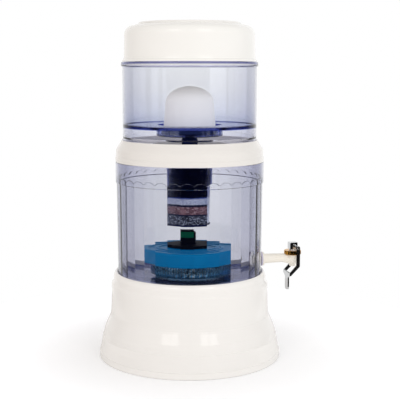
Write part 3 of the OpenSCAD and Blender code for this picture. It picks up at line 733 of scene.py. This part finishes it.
def boss_ring():
    """The ring that the tap's flange bears on, set against the round wall, as a mesh."""
    tap_height, wall_radius, face, chamfered_face, sides = 153, 117.3, 120.5, 120.1, 64
    hole, face_radius, boss_radius = 8.0, 11.8, 12.2
    shape = bmesh.new()
    rings = []
    for radius, end in ((hole, None), (face_radius, None), (boss_radius, None),
                        (boss_radius, chamfered_face), (face_radius, face), (hole, face)):
        ring = []
        for i in range(sides):
            a = math.tau * i / sides
            y, z = radius * math.cos(a), radius * math.sin(a)
            x = end or math.sqrt(wall_radius ** 2 - y ** 2)
            ring.append(shape.verts.new((x * MM, y * MM, (tap_height + z) * MM)))
        rings.append(ring)
    skin(shape, rings + rings[:1])
    return finish_surface(shape, "tank_boss")


class FILTER_OT_lower_tank(bpy.types.Operator):
    """Makes the clear lower tank: round outside, flat panels with arched tops inside"""

    bl_idname = "filter.lower_tank"
    bl_label = "Lower tank"

    def execute(self, context):
        tank = context.scene.filter_tanks
        clear = materials()["panel_san"]
        shell = grow(in_scene("tank_panel", panel_wedge(tank)), panels_tree(), "lower_tank_shell", clear,
                     Count=tank.panel_count)
        shape = bmesh.new()
        shape.from_mesh(shell.data)
        unwelded = shell.data
        shell.data = finish_surface(shape, "lower_tank_shell", fine_crease=4.0)
        shell.data.materials.append(clear)
        bpy.data.meshes.remove(unwelded)
        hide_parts("lower_tank")
        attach(shell, "stand")
        boss = piece_from(boss_ring(), "tank_boss", clear)
        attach(boss, "stand")
        return {"FINISHED"}


class FILTER_OT_spring(bpy.types.Operator):
    """Winds the tap's valve spring, with a closed turn at each end"""

    bl_idname = "filter.spring"
    bl_label = "Valve spring"

    def execute(self, context):
        steps, sides, clearance = 48, 14, 0.05 * MM
        spring = context.scene.filter_spring
        low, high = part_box("valve_spring")
        centre_x = (low[0] + high[0]) / 2
        wire = spring.wire_radius * MM
        foot, top = low[2] + wire + clearance, high[2] - wire
        closed_rise = 2.04 * wire
        rise = (top - foot - 2 * closed_rise) / spring.turns
        shape = bmesh.new()
        rings = []
        for i in range(steps * (spring.turns + 2) + 1):
            turn = i / steps
            working = min(max(turn - 1, 0), spring.turns)
            height = foot + closed_rise * (turn - working) + rise * working
            around = math.tau * turn
            outward = Vector((math.cos(around), math.sin(around), 0))
            middle = Vector((centre_x, 0, height)) + outward * spring.coil_radius * MM
            ring = []
            for k in range(sides):
                a = math.tau * k / sides
                ring.append(shape.verts.new(
                    middle + outward * wire * math.cos(a) + Vector((0, 0, wire * math.sin(a)))))
            rings.append(ring)
        skin(shape, rings)
        shape.faces.new(rings[0])
        shape.faces.new(list(reversed(rings[-1])))
        piece = piece_from(finish_surface(shape, "spring_coil"), "spring_coil", materials()["stainless"])
        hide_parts("valve_spring")
        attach(piece, "stand")
        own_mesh(piece)
        return {"FINISHED"}


def layer_tree(name, radius):
    """A tree that covers the round side of a layer with grains of a radius in millimetres."""
    spacing, cover, smallest, size_seed, turn_seed = 1.75, 0.9, 0.8, 5, 3
    tree, given = geometry_tree(name + "_tree", [
        ("Radius", "NodeSocketFloat"), ("Seed", "NodeSocketInt"), ("Detail", "NodeSocketInt")])
    normal = add(tree, "GeometryNodeInputNormal").outputs[0]
    axis = add(tree, "ShaderNodeSeparateXYZ", {0: normal})
    side = calc(tree, "LESS_THAN", calc(tree, "ABSOLUTE", axis.outputs["Z"]), 0.5)
    spread = add(tree, "GeometryNodeDistributePointsOnFaces",
                 {"Mesh": given["Geometry"], "Selection": side,
                  "Distance Min": calc(tree, "MULTIPLY", given["Radius"], spacing),
                  "Density Max": cover / (spacing * radius * MM) ** 2, "Seed": given["Seed"]},
                 distribute_method="POISSON")
    grain = add(tree, "GeometryNodeMeshIcoSphere",
                {"Radius": given["Radius"], "Subdivisions": given["Detail"]})
    size = add(tree, "FunctionNodeRandomValue", {2: smallest, 3: 1.0, "Seed": size_seed},
               data_type="FLOAT")
    real = copies_on(tree, spread.outputs["Points"], grain.outputs["Mesh"],
                     Rotation=random_vector(tree, turn_seed, ANY_TURN), Scale=size.outputs[1])
    both = add(tree, "GeometryNodeJoinGeometry", {0: real})
    tree.links.new(given["Geometry"], both.inputs[0])
    smooth = add(tree, "GeometryNodeSetShadeSmooth", {"Geometry": both.outputs[0]})
    end_tree(tree, smooth.outputs[0], given["Material"])
    return tree


def stone_places(radius):
    """Points for the case's stones, in rings that stand in layers, as a mesh; radius in millimetres."""
    floor, top, reach, ring_count, layer_turn, ring_turn = 136, 157.4, 60.2, 7, 31, 17
    pitch = 2.24 * radius
    layers = int((top - floor) / pitch)
    places = []
    for layer in range(layers):
        height = floor + (top - floor) * (layer + 0.5) / layers
        for k in range(ring_count):
            ring = reach - radius - pitch * k
            count = int(math.tau * ring / pitch)
            for i in range(count if ring > 0 else 0):
                a = math.radians(layer_turn * layer + ring_turn * k + i * 360 / count)
                places.append((ring * math.cos(a) * MM, ring * math.sin(a) * MM, height * MM))
    mesh = bpy.data.meshes.new("stone_places")
    mesh.from_pydata(places, [], [])
    return mesh


def stones_tree():
    """A tree that sets a stone on each point, each one turned and shaped a little differently."""
    unevenness, lump_scale, largest, smallest = 0.003, 260, (1, 1, 0.9), (0.82, 0.82, 0.72)
    tree, given = geometry_tree("stones_in_the_case", [
        ("Radius", "NodeSocketFloat"), ("Seed", "NodeSocketInt")])
    ball = add(tree, "GeometryNodeMeshIcoSphere", {"Radius": given["Radius"], "Subdivisions": 2})
    lumps = add(tree, "ShaderNodeTexNoise", {"Scale": lump_scale, "Detail": 1.0}).outputs["Fac"]
    depth = calc(tree, "MULTIPLY", calc(tree, "SUBTRACT", lumps, 0.5), unevenness)
    normal = add(tree, "GeometryNodeInputNormal").outputs[0]
    push = add(tree, "ShaderNodeVectorMath", {0: normal, "Scale": depth}, operation="SCALE").outputs[0]
    broken = add(tree, "GeometryNodeSetPosition", {"Geometry": ball.outputs["Mesh"], "Offset": push})
    smooth = add(tree, "GeometryNodeSetShadeSmooth", {"Geometry": broken.outputs[0]})
    spin = random_vector(tree, given["Seed"], ANY_TURN)
    size = random_vector(tree, given["Seed"], largest, smallest)
    real = copies_on(tree, given["Geometry"], smooth.outputs[0], Rotation=spin, Scale=size)
    end_tree(tree, real, given["Material"])
    return tree


class FILTER_OT_media(bpy.types.Operator):
    """Makes the mineral balls, the sand and the stones of the case"""

    bl_idname = "filter.media"
    bl_label = "Filter media"

    def execute(self, context):
        bed_radius, segments = 33.7, 96
        media = context.scene.filter_media
        finishes = materials()
        for name, node, slot, low, high, radius, finish, detail in (
            ("mineral_balls", "mineral_bed", "mineral", 236.5, 249.1, media.ball_radius, "balls", 2),
            ("mineral_sand", "sand_bed", "sand", 219.7, 234.2, media.grain_radius, "sand", 1),
        ):
            core = bed_radius - radius
            outline = [(0, low), (core, low), (core, high), (0, high)]
            host = turned(name + "_core", outline, finishes[finish], segments)
            piece = grow(host, layer_tree(name, radius), name, finishes[finish],
                         Radius=radius * MM, Seed=media.seed, Detail=detail)
            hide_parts(node)
            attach(piece, "upper")
        host = in_scene("stone_places", stone_places(media.stone_radius))
        piece = grow(host, stones_tree(), "pebbles", finishes["pebble"],
                     Radius=media.stone_radius * MM, Seed=media.seed)
        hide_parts("stones")
        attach(piece, "case")
        return {"FINISHED"}


# -------- stage


def table_top(studio):
    """A pale painted table top: matt, and lifted to white, most of all away from the object."""
    sides, lift_from, lift_to = 96, 0.15, 0.36
    mesh = bpy.data.meshes.new("table_top")
    edge = [(studio.table_radius * math.cos(math.tau * i / sides),
             studio.table_radius * math.sin(math.tau * i / sides), 0) for i in range(sides)]
    mesh.from_pydata(edge, [], [tuple(range(sides))])
    material, tree = new_material("matt_table_paint")
    path = add(tree, "ShaderNodeLightPath").outputs
    seen = calc(tree, "MAXIMUM", path["Is Camera Ray"], path["Is Transmission Ray"])
    away = calc_vector(tree, "LENGTH", object_place(tree))
    lift = mapped(tree, away, lift_from, lift_to, studio.floor_lift * 0.5, studio.floor_lift,
                  interpolation_type="SMOOTHSTEP")
    matt = add(tree, "ShaderNodeBsdfDiffuse", {"Color": linear("#F4F4F4")}).outputs[0]
    glow = add(tree, "ShaderNodeEmission", {"Color": linear("#F4F8FF"), "Strength": lift}).outputs[0]
    lifted = add(tree, "ShaderNodeAddShader", {0: matt, 1: glow}).outputs[0]
    add(tree, "ShaderNodeOutputMaterial", {"Surface": mix_shaders(tree, seen, matt, lifted)})
    piece_from(mesh, "table_top", material)


def background(tree, colour, strength=1.0):
    """Light of the room."""
    return add(tree, "ShaderNodeBackground", {"Color": colour, "Strength": strength}).outputs[0]


def card_light(tree, around, brightness):
    """How bright the pale cards are at an angle round the object."""
    soft_edge = 2
    brightest = 0.0
    for centre, width, glow in CARDS:
        off = calc(tree, "ABSOLUTE", calc(tree, "SUBTRACT", around, math.radians(centre)))
        card = mapped(tree, off, math.radians(width / 2 - soft_edge), math.radians(width / 2 + soft_edge),
                      glow * brightness, 0.0)
        brightest = calc(tree, "MAXIMUM", brightest, card)
    return brightest


def studio_room(studio):
    """The room: its light on matt surfaces, what gloss mirrors, and what shows through clear plastic."""
    world = bpy.data.worlds.new("studio_room")
    bpy.context.scene.world = world
    world.use_nodes = True
    tree = world.node_tree
    tree.nodes.clear()
    path = add(tree, "ShaderNodeLightPath").outputs
    direction = add(tree, "ShaderNodeTexCoord").outputs["Generated"]
    c, s = math.cos(studio.camera_azimuth), math.sin(studio.camera_azimuth)
    facing = calc_vector(tree, "DOT_PRODUCT", direction, Vector((s, -c, 0)))
    sideways = calc_vector(tree, "DOT_PRODUCT", direction, Vector((c, s, 0)))

    # matt surfaces: less light from straight above, and a warmer and weaker one from the left
    warmth = mix_colours(tree, mapped(tree, sideways, -1.0), linear("#FBF5F1"), WHITE)
    up_or_down = add(tree, "ShaderNodeSeparateXYZ", {0: direction}).outputs["Z"]
    soft = mapped(tree, calc(tree, "ABSOLUTE", up_or_down), 0.0, 0.8, studio.fill,
                  studio.fill * studio.overhead)
    bias = mapped(tree, sideways, -1.0, 1.0, studio.left_fill, studio.right_fill)
    matt = background(tree, warmth, calc(tree, "MULTIPLY", soft, bias))

    # gloss: a white sweep behind the object, and a dim room before it
    sweep = mapped(tree, facing, -0.9, -0.4, 1.0, 0.0)
    gloss = background(tree, WHITE, mapped(tree, sweep, to_low=studio.front_level))

    # clear plastic: white where the view goes straight through, from the front or from behind, else the
    # far side, and on it the cards once light has passed more than two clear surfaces
    unmirrored = calc(tree, "LESS_THAN", path["Glossy Depth"], 0.5)
    straight = calc(tree, "MULTIPLY", unmirrored, mapped(tree, facing, 0.3, 0.6))
    far_side = mix_colours(tree, calc(tree, "MAXIMUM", sweep, straight), linear(studio.far_side), WHITE)
    cards = card_light(tree, calc(tree, "ARCTAN2", sideways, facing), studio.cards)
    deep = calc(tree, "GREATER_THAN", path["Transmission Depth"], 2.5)
    bent = background(tree, calc_vector(tree, "ADD", far_side, calc(tree, "MULTIPLY", cards, deep)))

    room = matt
    for kind, light in (("Is Glossy Ray", gloss), ("Is Transmission Ray", bent),
                        ("Is Camera Ray", background(tree, WHITE))):
        room = mix_shaders(tree, path[kind], room, light)
    add(tree, "ShaderNodeOutputWorld", {"Surface": room})


def softboxes(studio):
    """Two softboxes before the object, each of two upright panes."""
    box_angle, pane_angle, distance, height, aim_height = 27.5, 6.3, 2.4, 1.55, 0.25
    for side in (-1, 1):
        for pane in (-1, 1):
            lamp = bpy.data.lights.new("softbox_pane", "AREA")
            lamp.shape = "RECTANGLE"
            lamp.size, lamp.size_y = 0.46, 1.0
            lamp.energy = studio.key_power
            lamp.color = linear("#FFFEFC")[:3]
            holder = in_scene("softbox_pane", lamp)
            angle = studio.camera_azimuth + math.radians(side * box_angle + pane * pane_angle)
            holder.location = (math.sin(angle) * distance, -math.cos(angle) * distance, height)
            aim = Vector((0, 0, aim_height)) - holder.location
            holder.rotation_mode = "QUATERNION"
            holder.rotation_quaternion = aim.to_track_quat("-Z", "Y")


def studio_camera(studio):
    """The camera, with the object a little left of the picture's middle."""
    camera = bpy.data.cameras.new("camera")
    camera.lens = studio.lens
    camera.sensor_width = 36.0
    camera.shift_x = AXIS_OFFSET_PX / PICTURE_WIDTH_PX
    holder = in_scene("camera", camera)
    holder.location = (math.sin(studio.camera_azimuth) * studio.camera_distance,
                       -math.cos(studio.camera_azimuth) * studio.camera_distance,
                       studio.camera_height)
    holder.rotation_euler = (math.pi / 2 - studio.camera_pitch, 0, studio.camera_azimuth)
    bpy.context.scene.camera = holder


class FILTER_OT_stage(bpy.types.Operator):
    """Sets up the table top, the room, the softboxes and the camera"""

    bl_idname = "filter.stage"
    bl_label = "Stage"

    def execute(self, context):
        context.scene.view_settings.view_transform = "Standard"
        for make in (table_top, studio_room, softboxes, studio_camera):
            make(context.scene.filter_studio)
        return {"FINISHED"}


class FILTER_PT_panel(bpy.types.Panel):
    """Lists the filter's operators and settings"""

    bl_idname = "FILTER_PT_panel"
    bl_label = "Water Filter"
    bl_space_type = "VIEW_3D"
    bl_region_type = "UI"
    bl_category = "Water Filter"

    def draw(self, context):
        for operator in OPERATORS:
            self.layout.operator(operator.bl_idname)
        for group in GROUPS:
            settings = getattr(context.scene, group)
            box = self.layout.box()
            for name in settings.bl_rna.properties.keys():
                if name not in ("rna_type", "name"):
                    box.prop(settings, name)


OPERATORS = (FILTER_OT_stage, FILTER_OT_finishes, FILTER_OT_upper_tank, FILTER_OT_lower_tank,
             FILTER_OT_media, FILTER_OT_spring)
GROUPS = {
    "filter_tanks": TankSettings,
    "filter_media": MediaSettings,
    "filter_spring": SpringSettings,
    "filter_finishes": FinishSettings,
    "filter_studio": StudioSettings,
}


def register():
    for kind in (*GROUPS.values(), *OPERATORS, FILTER_PT_panel):
        bpy.utils.register_class(kind)
    for name, kind in GROUPS.items():
        setattr(bpy.types.Scene, name, PointerProperty(type=kind))


def unregister():
    for name in GROUPS:
        delattr(bpy.types.Scene, name)
    for kind in (FILTER_PT_panel, *reversed(OPERATORS), *reversed(tuple(GROUPS.values()))):
        bpy.utils.unregister_class(kind)


def main():
    """Builds the whole scene in order."""
    register()
    bpy.ops.filter.stage()
    bpy.ops.filter.finishes()
    bpy.ops.filter.upper_tank()
    bpy.ops.filter.lower_tank()
    bpy.ops.filter.media()
    bpy.ops.filter.spring()


if __name__ == "__main__":
    main()
